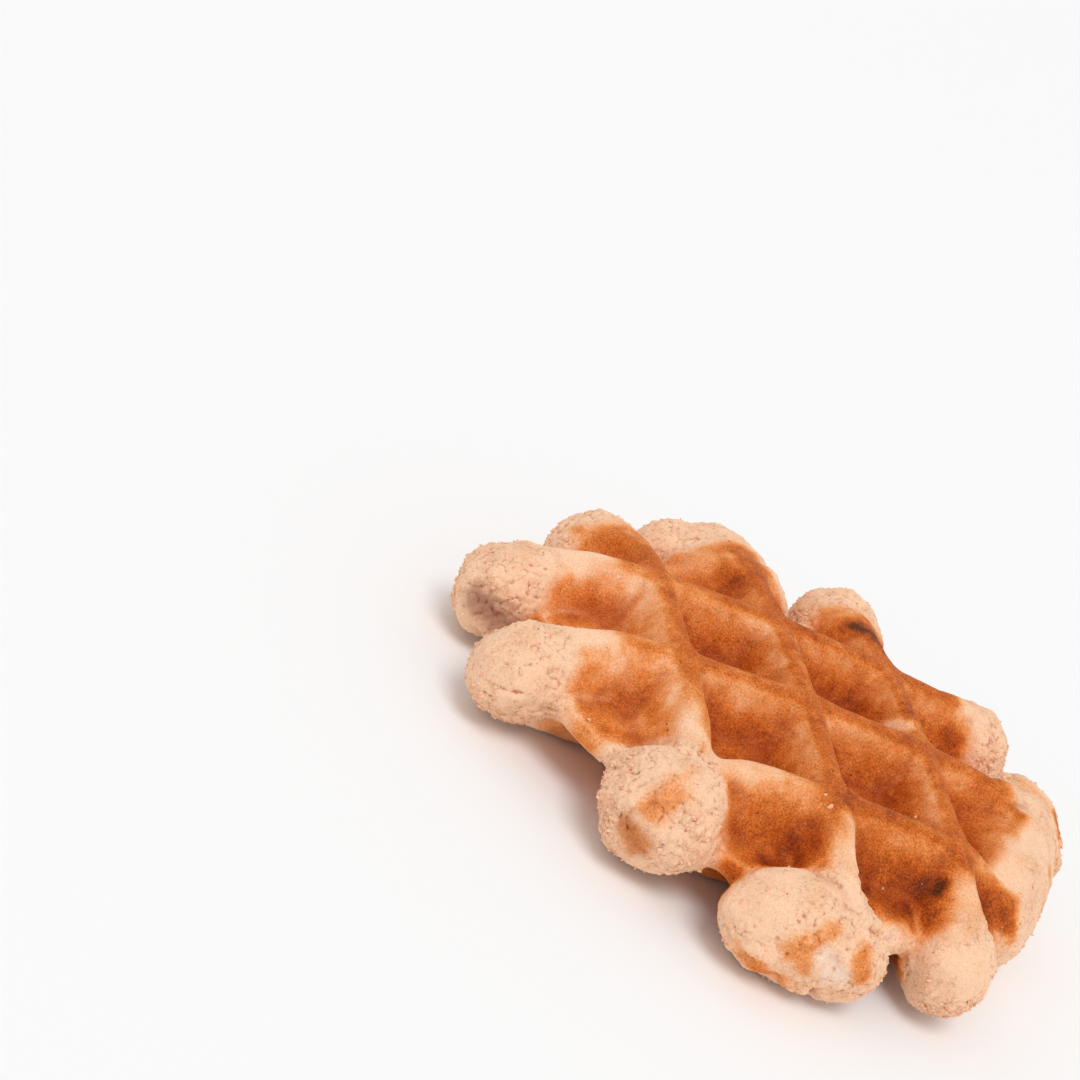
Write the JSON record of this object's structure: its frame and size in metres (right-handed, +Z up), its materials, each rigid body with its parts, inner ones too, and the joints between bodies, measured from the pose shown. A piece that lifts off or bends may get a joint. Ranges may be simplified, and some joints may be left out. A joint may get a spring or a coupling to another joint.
{
  "type": "belgian waffle",
  "caption": "Thick browned waffle with deep square pockets on both faces and a ragged rim of rounded pale dough lobes, lying flat.",
  "frame": {"origin": "centre of the bounding box in plan, at the height of the surface that the waffle lies on", "axes": "+Z up out of the shown face, +X along one set of ribs, +Y along the other, away from the front lobes"},
  "size_m": [0.122, 0.1228, 0.0256],
  "materials": {
    "dough": "dry baked dough, browned and slightly satin in the pockets, pale, crumbly and matt on the lobes"
  },
  "bodies": {
    "root": {"waffle": "dough"}
  },
  "joints": []
}
